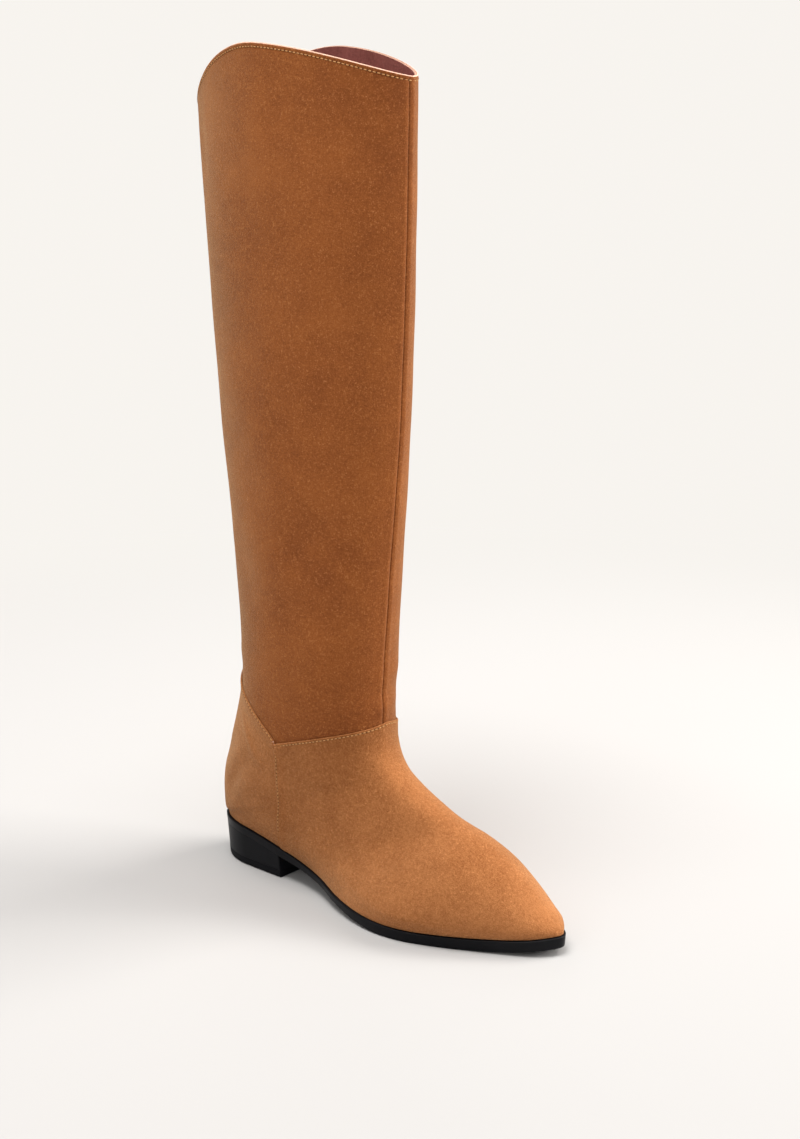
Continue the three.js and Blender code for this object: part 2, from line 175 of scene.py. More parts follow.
CREASES = tuple(Crease(*row) for row in (
    # Small buckles at the back of the shaft, just above the ankle seam.
    (((156, -0.84), (151, -0.97), (154, -1.0)), 4.5, -1.5),
    (((147, -0.86), (142, -0.97), (144, -1.0)), 5, 1.3),
    (((138, -0.82), (135, -0.95), (138, -1.0)), 4, -1.4),
    (((154, 0.86), (150, 1.0)), 5, -1.4),
    (((140, 0.84), (137, 1.0)), 4.5, -1.2),
    # The roll of the shaft over the front of the ankle.
    (((128, -0.16), (126, 0.0), (129, 0.18)), 5, 0.6),
    (((139, -0.2), (136, 0.0), (139, 0.2)), 6, -0.5),
    (((152, 0.02), (149, 0.16)), 7, 0.5),
    # Soft flutes below the collar, towards the back.
    (((488, -0.8), (440, -0.78)), 6, -0.8),
    (((482, -0.87), (430, -0.84)), 5, 0.5),
    (((474, -0.93), (428, -0.9)), 5, -0.5),
    (((484, 0.86), (430, 0.83)), 6, -0.7),
    # Broad hollows and swells down the outer and inner side of the shaft.
    (((440, -0.62), (372, -0.4)), 20, -1.3),
    (((395, -0.2), (330, -0.3)), 16, -1.0),
    (((345, -0.72), (280, -0.5)), 19, 1.1),
    (((262, -0.28), (205, -0.45)), 17, -1.1),
    (((230, -0.75), (180, -0.62)), 14, -1.2),
    (((178, -0.3), (140, -0.38)), 13, 1.0),
    (((420, 0.6), (350, 0.42)), 20, -1.2),
    (((310, 0.35), (240, 0.55)), 18, 1.1),
    (((200, 0.62), (155, 0.5)), 14, -1.2),
    # The counter gives below the low point of the ankle seam.
    (((101, -0.6), (94, -0.7), (88, -0.78)), 6, -1.5),
    (((108, -0.72), (98, -0.84)), 7, -0.9),
    (((116, -0.72), (106, -0.62), (97, -0.56)), 3, 0.7),
    (((101, 0.6), (92, 0.76)), 6, -1.3),
    # The throat, and the gentle breaks over the instep and the ball.
    (((101, -0.22), (97, 0.0), (101, 0.22)), 10, -1.0),
    (((84, -0.34), (80, 0.0), (84, 0.3)), 11, 0.7),
    (((58, -0.5), (52, -0.24)), 10, -0.9),
    (((45, -0.52), (38, -0.22)), 8, 0.7),
    (((36, -0.3), (33, 0.0), (36, 0.3)), 7, -0.6),
    (((56, 0.5), (50, 0.22)), 10, -0.8),
))


class Curve:
    """A smooth curve through the rows of a table."""

    def __init__(self, keys: list[float], values: list[float]) -> None:
        """Sorts the rows and works out a tangent at each.

        Args:
            keys: Where the rows are.
            values: What they hold.
        """
        order = np.argsort(keys)
        self.keys = np.asarray(keys, float)[order]
        self.values = np.asarray(values, float)[order]
        widths = np.diff(self.keys)
        slopes = np.diff(self.values) / widths
        inner = slopes[:-1] * widths[1:] + slopes[1:] * widths[:-1]
        inner = inner / (widths[:-1] + widths[1:])
        self.tangents = np.concatenate(([slopes[0]], inner, [slopes[-1]]))

    def __call__(self, at: Array) -> Array:
        """The curve's value at each place.

        Args:
            at: Where to read it.

        Returns:
            The values there.
        """
        at = np.clip(at, self.keys[0], self.keys[-1])
        i = np.clip(np.searchsorted(self.keys, at) - 1, 0, len(self.keys) - 2)
        width = self.keys[i + 1] - self.keys[i]
        t = (at - self.keys[i]) / width
        rise = t * t * (3 - 2 * t)
        leave = t * (1 - t) ** 2 * width * self.tangents[i]
        arrive = t * t * (t - 1) * width * self.tangents[i + 1]
        step = self.values[i + 1] - self.values[i]
        return self.values[i] + step * rise + leave + arrive


def lerp(first: Array, last: Array, share: Array) -> Array:
    """The value at a share of the way from the first to the last."""
    return first + (last - first) * share


def fade(distance: Array, reach: float) -> Array:
    """1 at no distance, falling smoothly to 0 at the reach."""
    t = np.clip(distance / reach, 0, 1)
    return 1 - t * t * (3 - 2 * t)


@dataclass
class Last:
    """The lasted surface that every piece of the upper follows."""

    collar_front: float = 498
    outer_peak: float = 519
    inner_peak: float = 521.5
    collar_back: float = 486
    peak_turn: float = 0.55
    seam_front: float = 117
    seam_low: float = 107
    seam_back: float = 134
    low_turn: float = 0.52
    seam_rise: float = 0.6
    waviness: float = 0.22
    waves_start: float = 20.0
    waves_fade: float = 30.0
    crease_steps: int = 13
    crease_end: float = 0.03
    crease_taper: float = 0.7
    origin: Array = field(default_factory=lambda: np.zeros(3))

    def __post_init__(self) -> None:
        """Draws the curves and finds the boot's place in the frame."""
        along = [row.along for row in FEATHER]
        self.feather_height = Curve(along, [row.height for row in FEATHER])
        self.lateral_reach = Curve(along, [row.lateral for row in FEATHER])
        self.medial_reach = Curve(along, [row.medial for row in FEATHER])
        rows = [self.standing(row) for row in SECTIONS]
        stations = [row.station for row in rows]
        names = [name for name in SectionRow.__dataclass_fields__ if name != "station"]
        self.columns = {n: Curve(stations, [getattr(r, n) for r in rows]) for n in names}
        sole = [vertex.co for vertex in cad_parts["outsole"].data.vertices]
        back = min(co.x for co in sole)
        middle = [co.y for co in sole if co.x < back + TOUCH]
        self.origin = np.array([back / MM + SOLE_MARGIN, np.mean(middle) / MM, 0.0])

    def standing(self, row: SectionRow) -> SectionRow:
        """A section with its bottom end on the feather line, where it stands there.

        Args:
            row: The section.

        Returns:
            The section with all its numbers.
        """
        if row.back_z is not None:
            return row
        return replace(row, back_z=float(self.feather_height(np.array(row.back_x))))

    def placed(self, points: Array) -> Array:
        """Boot millimetres as frame metres."""
        return (points + self.origin) * MM

    def end_share(self, along: Array) -> Array:
        """The share of the full width left inside the rounded heel and toe ends.

        Args:
            along: Distances from the back of the heel.

        Returns:
            The share at each.
        """
        heel = np.clip((HEEL_ROUND - along) / HEEL_ROUND, 0, 1)
        toe = np.clip((along - FOOT_LENGTH + TOE_ROUND) / TOE_ROUND, 0, 1)
        return np.sqrt(1 - heel**2) * np.sqrt(1 - toe**2)

    def feather_side(self, along: Array, side: Array) -> Array:
        """The feather line's y, on side -1 (outer) or +1 (inner).

        Args:
            along: Distances from the back of the heel.
            side: The side of each.

        Returns:
            The y of each.
        """
        lateral = -self.lateral_reach(along)
        medial = self.medial_reach(along)
        half = (medial - lateral) / 2 * self.end_share(along)
        return (lateral + medial) / 2 + side * half

    def base(self, station: Array, turn: Array) -> Array:
        """Points of the plain surface.

        Args:
            station: Each point's station.
            turn: Each point's turn.

        Returns:
            The points, in boot millimetres, along a new last axis.
        """
        station, turn = np.broadcast_arrays(np.asarray(station, float), turn)
        row = {name: curve(station) for name, curve in self.columns.items()}
        side = np.where(turn < 0, -1.0, 1.0)
        grounded = station < SEAT_STATION
        back_z = np.where(grounded, self.feather_height(row["back_x"]), row["back_z"])
        ends = self.end_share(np.maximum(row["back_x"], HEEL_ROUND))
        middle = (row["medial"] - row["lateral"]) / 2
        half = side * (row["medial"] + row["lateral"]) / 2 * np.where(grounded, ends, 1)
        low_turns = LOW_TURNS + (1 - 2 * LOW_TURNS) * row["belly"]
        share = np.abs(turn) / (1 - low_turns)
        angle = np.clip(1 - share, 0, 1) * math.pi / 2
        rise = np.sin(angle) ** (2 / row["high"])
        reach = half * np.maximum(np.cos(angle), 0) ** (2 / row["high"])
        high_y = lerp(middle, row["ridge"], rise) + reach
        high_up = lerp(row["belly"], 1, rise)
        drop = np.clip((np.abs(turn) - 1 + low_turns) / low_turns, 0, 1)
        foot = np.where(grounded, self.feather_side(row["back_x"], side) - middle, 0)
        narrow = np.abs(half) < HAIR
        foot_share = np.clip(foot / np.where(narrow, 1, half), 0, 1)
        edge = np.arccos(np.where(narrow, 1, foot_share) ** (row["low"] / 2))
        bent = np.sin(drop * edge) / np.sin(np.maximum(edge, SMALL_ANGLE))
        fall = np.where(edge > SMALL_ANGLE, bent, drop)
        low_up = row["belly"] * (1 - fall ** (2 / row["low"]))
        low_y = middle + half * np.maximum(np.cos(drop * edge), 0) ** (2 / row["low"])
        up = np.where(share <= 1, high_up, low_up)
        y = np.where(share <= 1, high_y, low_y)
        x = lerp(row["back_x"], row["front_x"], up)
        return np.stack([x, y, lerp(back_z, row["front_z"], up)], axis=-1)

    def normal(self, station: Array, turn: Array) -> Array:
        """The outward direction at each place.

        Args:
            station: Each point's station.
            turn: Each point's turn.

        Returns:
            Unit vectors along a new last axis.
        """
        station, turn = np.broadcast_arrays(np.asarray(station, float), turn)
        after, before = turn + TURN_STEP, turn - TURN_STEP
        closed = station >= SEAT_STATION
        after = np.where(after > 1, np.where(closed, after - 2, 1.0), after)
        before = np.where(before < -1, np.where(closed, before + 2, -1.0), before)
        across = self.base(station, after) - self.base(station, before)
        lower = self.base(np.maximum(station - STATION_STEP, 0), turn)
        down = lower - self.base(station + STATION_STEP, turn)
        out = np.cross(down, across)
        size = np.linalg.norm(out, axis=-1, keepdims=True)
        forward = np.array([1.0, 0.0, 0.0])
        return np.where(size > TINY, out / np.maximum(size, TINY), forward)

    def relief(self, points: Array) -> Array:
        """How far the creases and a slight waviness move the surface out at each point.

        Args:
            points: Points of the plain surface.

        Returns:
            The move at each, in millimetres.
        """
        x, y, z = points[..., 0], points[..., 1], points[..., 2]
        waves = np.sin(x / 11 + z / 23 + 0.6) * np.sin(z / 17 - y / 13 + 1.9)
        waves = waves + 0.6 * np.sin(x / 19 - z / 41 + 2.2) * np.sin(y / 9 + z / 29)
        total = self.waviness * waves * np.clip((z - self.waves_start) / self.waves_fade, 0, 1)
        for crease in CREASES:
            corners = np.array(crease.path, float)
            steps = np.linspace(0, len(corners) - 1, self.crease_steps)
            marks = np.arange(len(corners))
            stations = np.interp(steps, marks, corners[:, 0])
            line = self.base(stations, np.interp(steps, marks, corners[:, 1]))
            nearest = np.full(x.shape, np.inf)
            where = np.zeros(x.shape)
            for i in range(len(line) - 1):
                leg = line[i + 1] - line[i]
                share = np.clip((points - line[i]) @ leg / (leg @ leg), 0, 1)
                gap = np.linalg.norm(points - line[i] - share[..., None] * leg, axis=-1)
                closer = gap < nearest
                nearest = np.where(closer, gap, nearest)
                where = np.where(closer, (i + share) / (len(line) - 1), where)
            inner = np.clip(where, self.crease_end, 1 - self.crease_end)
            taper = np.sin(math.pi * inner) ** self.crease_taper
            total = total + crease.depth * taper * np.exp(-((nearest / crease.width) ** 2))
        return total

    def surface(self, station: Array, turn: Array, lift: float | Array = 0.0) -> Array:
        """Points of the creased surface.

        Args:
            station: Each point's station.
            turn: Each point's turn.
            lift: How far outside the surface each point lies.

        Returns:
            The points, in boot millimetres.
        """
        plain = self.base(station, turn)
        move = self.relief(plain) + lift
        return plain + self.normal(station, turn) * move[..., None]

    def collar(self, turn: Array) -> Array:
        """The collar's station: highest at both sides and lowest at the back.

        Args:
            turn: Where round the shaft.

        Returns:
            The station at each turn.
        """
        back = np.abs(turn)
        behind = back > self.peak_turn
        to_peak = np.where(behind, (1 - back) / (1 - self.peak_turn), back / self.peak_turn)
        rise = np.sin(to_peak * math.pi / 2) ** 2
        peak = np.where(turn < 0, self.outer_peak, self.inner_peak)
        return lerp(np.where(behind, self.collar_back, self.collar_front), peak, rise)

    def ankle(self, turn: Array) -> Array:
        """The ankle seam's station: down to a low point at the side, then up to the back.

        Args:
            turn: Where round the shaft.

        Returns:
            The station at each turn.
        """
        back = np.abs(turn)
        front = lerp(self.seam_front, self.seam_low, np.clip(back / self.low_turn, 0, 1))
        to_back = np.clip((back - self.low_turn) / (1 - self.low_turn), 0, 1)
        behind = lerp(self.seam_low, self.seam_back, to_back**self.seam_rise)
        return np.where(back < self.low_turn, front, behind)

    def below(self, station: Array, turn: Array, distance: float) -> Array:
        """The station a distance down the surface from another."""
        gap = self.base(station, turn) - self.base(station - 1, turn)
        return station - distance / np.linalg.norm(gap, axis=-1)

    def turn_at(self, station: Line, shift: float, side: int) -> float:
        """The turn at which a row of stations meets the counter's seam.

        Args:
            station: The row's station at a turn.
            shift: How far in front of the seam, towards the toe.
            side: -1 for the outer side, +1 for the inner.

        Returns:
            The turn, signed, or the end of the row where it stays in front.
        """
        near, far = SEARCH_FROM, 1.0
        for _ in range(HALVINGS):
            middle = np.array((near + far) / 2 * side)
            at = station(middle)
            up = np.clip((at - COUNTER_END) / (self.seam_low - COUNTER_END), 0, 1)
            seam = lerp(COUNTER_FOOT, COUNTER_TOP, up)
            ahead = self.base(at, middle)[..., 0] > seam + shift
            near, far = (abs(float(middle)), far) if ahead else (near, abs(float(middle)))
        return side * (near + far) / 2


# ---- Finishes ----


class Signal:
    """A shader value that takes part in sums and products."""

    def __init__(self, tree: "NodeTree", socket: NodeSocket) -> None:
        """Wraps a socket of a tree."""
        self.tree = tree
        self.socket = socket

    def combine(self, operation: str, first: object, second: object) -> "Signal":
        """The result of a Math node on two values."""
        node = self.tree.add("ShaderNodeMath", {"operation": operation}, {0: first, 1: second})
        return Signal(self.tree, node.outputs[0])

    def __add__(self, other: object) -> "Signal":
        """This value and another."""
        return self.combine("ADD", self, other)

    __radd__ = __add__

    def __sub__(self, other: object) -> "Signal":
        """This value less another."""
        return self.combine("SUBTRACT", self, other)

    def __rsub__(self, other: object) -> "Signal":
        """Another value less this one."""
        return self.combine("SUBTRACT", other, self)

    def __mul__(self, other: object) -> "Signal":
        """This value times another."""
        return self.combine("MULTIPLY", self, other)

    __rmul__ = __mul__

    def above(self, low: float, high: float) -> "Signal":
        """0 below the low value, 1 above the high one and smooth between.

        Args:
            low: Where the rise starts.
            high: Where it ends.

        Returns:
            The new value.
        """
        settings = {"interpolation_type": "SMOOTHSTEP"}
        node = self.tree.add("ShaderNodeMapRange", settings, {0: self, 1: low, 2: high})
        return Signal(self.tree, node.outputs[0])


class NodeTree:
    """Builds the nodes of one material."""

    def __init__(self, name: str) -> None:
        """Starts an empty material of that name.

        Args:
            name: The material's name.
        """
        self.material = bpy.data.materials.new(name)
        self.material.use_nodes = True
        self.tree = self.material.node_tree
        self.tree.nodes.clear()
        self.place = self.add("ShaderNodeTexCoord", {}, {}).outputs["Object"]

    def add(self, kind: str, settings: dict, inputs: dict) -> Node:
        """Adds a node.

        Args:
            kind: The node's type.
            settings: Its own settings, which are set first.
            inputs: Values or links, by socket name or number.

        Returns:
            The node.
        """
        node = self.tree.nodes.new(kind)
        for name, value in settings.items():
            setattr(node, name, value)
        for name, value in inputs.items():
            if isinstance(value, Signal):
                value = value.socket
            if isinstance(value, NodeSocket):
                self.tree.links.new(value, node.inputs[name])
            else:
                node.inputs[name].default_value = value
        return node

    def noise(self, scale: float, detail: float = 2, roughness: float = 0.55) -> Signal:
        """A noise over the object, of that many patches to the metre."""
        inputs = {"Vector": self.place, "Scale": scale, "Detail": detail, "Roughness": roughness}
        return Signal(self, self.add("ShaderNodeTexNoise", {}, inputs).outputs[0])

    def cells(self, scale: float) -> Signal:
        """The distance to the nearest cell's centre in a leather grain."""
        inputs = {"Vector": self.place, "Scale": scale}
        return Signal(self, self.add("ShaderNodeTexVoronoi", {}, inputs).outputs["Distance"])

    def blend(self, share: Signal, first: object, last: object) -> NodeSocket:
        """A colour at a share of the way from the first to the last."""
        inputs = {0: share, 6: colour(first), 7: colour(last)}
        return self.add("ShaderNodeMix", {"data_type": "RGBA"}, inputs).outputs[2]

    def bump(self, height: Signal, depth: float, strength: float = 1) -> NodeSocket:
        """A normal bent by a height of that depth in millimetres."""
        inputs = {"Height": height, "Distance": depth * MM, "Strength": strength}
        return self.add("ShaderNodeBump", {}, inputs).outputs[0]

    def surface(self, inputs: dict) -> Material:
        """Ends the material in a Principled shader with those inputs.

        Args:
            inputs: Values or links, by the shader's socket name.

        Returns:
            The material.
        """
        shader = self.add("ShaderNodeBsdfPrincipled", {}, inputs)
        self.add("ShaderNodeOutputMaterial", {}, {"Surface": shader.outputs[0]})
        return self.material


def colour(value: object) -> object:
    """A colour with its fourth channel, or a link as it is."""
    return (*value, 1) if isinstance(value, tuple) else value


@dataclass(frozen=True)
class Suede:
    """Napped leather: cloudy tone, brushed fibres and a soft sheen."""

    name: str
    dark: Colour = (0.176, 0.0447, 0.0095)
    light: Colour = (0.359, 0.112, 0.026)
    tip: Colour = (0.66, 0.28, 0.1)
    sheen: float = 0.42
    grain: float = 1.0

    def make(self) -> Material:
        """Builds the material's nodes.

        Returns:
            The material.
        """
        tree = NodeTree(self.name)
        clouds = tree.noise(13, 2, 0.5)
        patches = tree.noise(60, 3, 0.55)
        nap = tree.noise(520, 3, 0.7)
        fibres = tree.noise(1300, 3, 0.75)
        fine = self.grain * (0.7 * nap + 1.2 * fibres - 0.95)
        tone = 0.7 * clouds + 0.45 * patches + fine - 0.05
        ground = tree.blend(tone.above(0.0, 1.0), self.dark, self.light)
        tips = (0.6 * fibres + 0.4 * nap).above(0.54, 0.7) * 0.55
        height = 0.6 * fibres + 0.3 * nap + 0.25 * patches
        return tree.surface({
            "Base Color": tree.blend(tips, ground, self.tip),
            "Roughness": 0.86 + 0.12 * patches,
            "Specular IOR Level": 0.18,
            "Sheen Weight": self.sheen,
            "Sheen Roughness": 0.36,
            "Sheen Tint": (1.0, 0.74, 0.43, 1),
            "Normal": tree.bump(height, 0.75 * self.grain, 0.9),
        })


@dataclass(frozen=True)
class Lining:
    """Smooth lining leather with a fine grain."""

    name: str = "lining_leather"
    dark: Colour = (0.2, 0.055, 0.044)
    light: Colour = (0.33, 0.105, 0.085)

    def make(self) -> Material:
        """Builds the material's nodes.

        Returns:
            The material.
        """
        tree = NodeTree(self.name)
        tone = 0.6 * tree.noise(40, 3) + 0.4 * tree.noise(500, 2)
        grain = tree.cells(900)
        return tree.surface({
            "Base Color": tree.blend(tone.above(0.3, 0.7), self.dark, self.light),
            "Roughness": 0.62 + 0.2 * tone,
            "Specular IOR Level": 0.3,
            "Normal": tree.bump(grain + 0.4 * tone, 0.15, 0.6),
        })


@dataclass(frozen=True)
class CutEdge:
    """The pale, fibrous cut edge of the leather."""

    name: str = "cut_edge"
    dark: Colour = (0.6, 0.32, 0.21)
    light: Colour = (0.85, 0.56, 0.43)

    def make(self) -> Material:
        """Builds the material's nodes.

        Returns:
            The material.
        """
        tree = NodeTree(self.name)
        fibres = 0.5 * tree.noise(900, 2) + 0.5 * tree.noise(2600, 1)
        return tree.surface({
            "Base Color": tree.blend(fibres.above(0.3, 0.65), self.dark, self.light),
            "Roughness": 0.8 + 0.15 * fibres,
            "Specular IOR Level": 0.2,
            "Normal": tree.bump(fibres, 0.2),
        })


@dataclass(frozen=True)
class Thread:
    """Sewing thread, or the shadowed hole it goes into."""

    name: str
    dark: Colour
    light: Colour

    def make(self) -> Material:
        """Builds the material's nodes.

        Returns:
            The material.
        """
        tree = NodeTree(self.name)
        twist = tree.noise(3200, 1)
        return tree.surface({
            "Base Color": tree.blend(twist.above(0.35, 0.65), self.dark, self.light),
            "Roughness": 0.6 + 0.2 * twist,
            "Specular IOR Level": 0.3,
            "Normal": tree.bump(twist, 0.1),
        })


@dataclass(frozen=True)
class SoleBlack:
    """Waxed black edge of the sole and heel, faintly brushed and scuffed."""

    name: str
    tone: Colour = (0.0032, 0.0035, 0.005)
    worn: Colour = (0.008, 0.008, 0.0105)
    gloss: float = 0.3
    grain: float = 0.12

    def make(self) -> Material:
        """Builds the material's nodes.

        Returns:
            The material.
        """
        tree = NodeTree(self.name)
        smears = tree.noise(60, 4, 0.6)
        specks = tree.noise(1800, 2, 0.6)
        wear = (0.6 * smears + 0.4 * specks).above(0.45, 0.75)
        return tree.surface({
            "Base Color": tree.blend(wear, self.tone, self.worn),
            "Roughness": self.gloss + 0.2 * smears + 0.1 * specks,
            "Specular IOR Level": 0.13,
            "Normal": tree.bump(0.4 * smears + 0.5 * specks, self.grain, 0.5),
        })


# ---- Making pieces ----


class Slot(Enum):
    """The material slots."""

    SUEDE = "suede"
    LINING = "lining"
    SOLE = "sole"


class Bench:
    """Turns a finished bmesh into a piece of the boot."""

    def piece(
        self, name: str, mesh: BMesh, materials: list[Material], slot: Slot, *stands_for: str
    ) -> Object:
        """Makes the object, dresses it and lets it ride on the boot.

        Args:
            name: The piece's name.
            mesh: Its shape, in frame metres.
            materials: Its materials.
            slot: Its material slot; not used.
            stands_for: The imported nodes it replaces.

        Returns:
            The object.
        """
        for face in mesh.faces:
            face.smooth = True
        data = bpy.data.meshes.new(name)
        mesh.to_mesh(data)
        mesh.free()
        data.set_sharp_from_angle(angle=SHARP_ANGLE)
        piece = bpy.data.objects.new(name, data)
        bpy.context.scene.collection.objects.link(piece)
        for material in materials:
            data.materials.append(material)
        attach(piece, BODY)
        if stands_for:
            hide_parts(*stands_for)
        return piece

    def report(self, piece: Object) -> None:
        """Logs the piece's size."""
        sides = [round(side / MM, 1) for side in piece.dimensions]
        LOG.info("%s: %d faces, %s mm", piece.name, len(piece.data.polygons), sides)


def spread(length: float, step: float, edge: tuple[float, ...]) -> Array:
    """Shares of a length, with steps set close at both ends and even between.

    Args:
        length: The whole length.
        step: The even step.
        edge: The distances from an end that the close steps lie at.

    Returns:
        The shares, from 0 to 1.
    """
    near = np.array(edge) / length
    count = max(int((1 - 2 * near[-1]) * length / step), 2)
    even = np.linspace(near[-1], 1 - near[-1], count + 1)
    return np.concatenate((near[:-1], even, (1 - near[:-1])[::-1]))


def bump(distance: Array, at: float, width: float) -> Array:
    """A soft bump of height 1."""
    return np.exp(-(((distance - at) / width) ** 2))


@dataclass
class Border:
    """How a panel ends along one side: rounded, lifted, puffed up and drawn in by a seam."""

    roll: float = 0.7
    lift: float = 0.0
    reach: float = 9.0
    puff: float = 0.0
    puff_at: float = 2.4
    puff_width: float = 1.6
    groove: float = 0.0
    groove_at: float = 1.6
    groove_width: float = 0.55

    def raise_at(self, distance: Array) -> Array:
        """How far the face stands out at a distance from this side.

        Args:
            distance: Distances from this side, in millimetres.

        Returns:
            The rise at each.
        """
        short = np.clip(self.roll - distance, 0, None)
        total = -(self.roll - np.sqrt(np.maximum(self.roll**2 - short**2, 0)))
        total = total + self.lift * fade(distance, self.reach)
        total = total + self.puff * bump(distance, self.puff_at, self.puff_width)
        return total - self.groove * bump(distance, self.groove_at, self.groove_width)


EDGE_STEPS = (0, 0.12, 0.3, 0.6, 0.9, 1.25, 1.6, 1.95, 2.35, 2.8, 3.6, 5.0, 7.0)


@dataclass
class Panel:
    """A cut piece of leather, laid on the last."""

    top: Line
    bottom: Line
    first: Callable[[float], float]
    last: Callable[[float], float]
    width: float
    height: float
    depth: float = 0.0
    step: float = 2.4
    edge_rows: int = 0
    borders: dict[str, Border] = field(default_factory=dict)
    end_weight: Callable[[str, Array], Array] = lambda side, rows: np.ones_like(rows)

    def places(self) -> tuple[Array, Array]:
        """The stations and turns of the panel's grid, a row at a time.

        Returns:
            The stations, then the turns.
        """
        rows = spread(self.height, self.step, EDGE_STEPS)
        columns = spread(self.width, self.step, EDGE_STEPS)
        left = np.array([self.first(row) for row in rows])[:, None]
        right = np.array([self.last(row) for row in rows])[:, None]
        turns = lerp(left, right, columns[None, :])
        stations = lerp(self.top(turns), self.bottom(turns), rows[:, None])
        return stations, turns

    def face(self, last: Last) -> Array:
        """The outer face's points, in boot millimetres.

        Args:
            last: The last it is made on.

        Returns:
            The points, by row and column.
        """
        stations, turns = self.places()
        plain = last.base(stations, turns)
        ends = {"top": plain[:1], "bottom": plain[-1:]}
        ends |= {"first": plain[:, :1], "last": plain[:, -1:]}
        lift = np.full(stations.shape, -self.depth)
        for side, border in self.borders.items():
            distance = np.linalg.norm(plain - ends[side], axis=-1)
            lift = lift + border.raise_at(distance) * self.end_weight(side, stations)
        return last.surface(stations, turns, lift)

    def sheet(self, last: Last) -> BMesh:
        """The outer face as a mesh in frame metres, facing out.

        Args:
            last: The last it is made on.

        Returns:
            The mesh.
        """
        points = last.placed(self.face(last))
        rows, columns = points.shape[:2]
        mesh = bmesh.new()
        bmesh.ops.create_grid(mesh, x_segments=columns - 1, y_segments=rows - 1, size=0.5)
        for face in mesh.faces:
            row = int((0.5 - face.calc_center_median().y) * (rows - 1))
            face.material_index = 1 if row < self.edge_rows else 0
        for vertex in mesh.verts:
            column = round((vertex.co.x + 0.5) * (columns - 1))
            row = round((0.5 - vertex.co.y) * (rows - 1))
            vertex.co = points[row, column]
        return mesh


def shell(piece: Object, thickness: float, weight: Line | None = None) -> Object:
    """Gives a sheet its thickness inwards, with its cut edges in its second material.

    Args:
        piece: The sheet.
        thickness: The leather's thickness in millimetres.
        weight: The share of it at each vertex's x, where it isn't whole.

    Returns:
        The same piece.
    """
    walls = piece.modifiers.new("wall", "SOLIDIFY")
    walls.thickness = thickness * MM
    walls.offset = -1
    walls.use_quality_normals = True
    walls.material_offset_rim = 1
    if weight is not None:
        group = piece.vertex_groups.new(name="wall")
        for vertex in piece.data.vertices:
            group.add([vertex.index], float(weight(np.array(vertex.co.x))), "REPLACE")
        walls.vertex_group = group.name
    seen = piece.evaluated_get(bpy.context.evaluated_depsgraph_get())
    data = bpy.data.meshes.new_from_object(seen)
    data.set_sharp_from_angle(angle=SHARP_ANGLE)
    data.name = piece.name
    old = piece.data
    piece.modifiers.clear()
    piece.vertex_groups.clear()
    piece.data = data
    bpy.data.meshes.remove(old)
    return piece


# ---- Shaft ----


@dataclass
class Shaft:
    """The tall shaft: an outer and an inner panel sewn up the front and the back."""

    last: Last
    bench: Bench
    materials: list[Material]
    under_lap: float = 5.0
    thickness: float = 1.0
    girth: float = 185.0
    height: float = 390.0

    def panel(self, first: float, final: float) -> Panel:
        """One side of the shaft, between two turns.

        Args:
            first: The turn where it starts.
            final: The turn where it ends.

        Returns:
            The panel.
        """
        seam = Border(roll=0.85, puff=0.45)
        return Panel(
            top=self.last.collar,
            bottom=lambda turn: self.last.below(self.last.ankle(turn), turn, self.under_lap),
            first=lambda row: first,
            last=lambda row: final,
            width=self.girth,
            height=self.height,
            edge_rows=3,
            borders={
                "top": Border(roll=0.9, groove=0.22, groove_at=2.7),
                "bottom": Border(roll=0.2, lift=-0.35, reach=12),
                "first": seam,
                "last": seam,
            },
        )

    def build(self) -> list[Object]:
        """Makes both panels.

        Returns:
            The two pieces.
        """
        made = []
        sides = (
            ("shaft_lateral_panel", -1.0, FRONT_SEAM),
            ("shaft_medial_panel", FRONT_SEAM, 1.0),
        )
        for name, first, final in sides:
            mesh = self.panel(first, final).sheet(self.last)
            piece = self.bench.piece(name, mesh, self.materials, Slot.SUEDE, "shaft")
            made.append(shell(piece, self.thickness))
        return made


# ---- Foot ----


